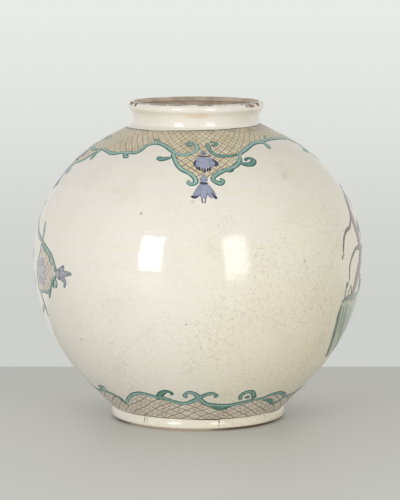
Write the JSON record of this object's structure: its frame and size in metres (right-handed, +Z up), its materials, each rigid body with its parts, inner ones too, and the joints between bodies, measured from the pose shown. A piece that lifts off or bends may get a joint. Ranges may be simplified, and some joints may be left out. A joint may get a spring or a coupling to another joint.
{
  "type": "storage jar",
  "caption": "Wide-bodied glazed jar with a short collar, a rolled lip and a low foot ring, for keeping dry goods.",
  "frame": {"origin": "centre of the circle that the foot ring stands on", "axes": "+Z up along the jar's axis, towards the mouth; the decoration's front faces -Y"},
  "size_m": [0.2999, 0.3, 0.289],
  "materials": {
    "clay": "bare fired stoneware, matt and slightly sandy",
    "slip": "bare fired slip, matt",
    "glaze": "glossy crackled ivory glaze with overglaze enamels"
  },
  "bodies": {
    "root": {"foot_ring": "clay", "lower_body": "clay", "upper_body": "clay", "neck_collar": "clay", "seam_slip": "slip", "glaze_coat": "glaze"}
  },
  "joints": []
}
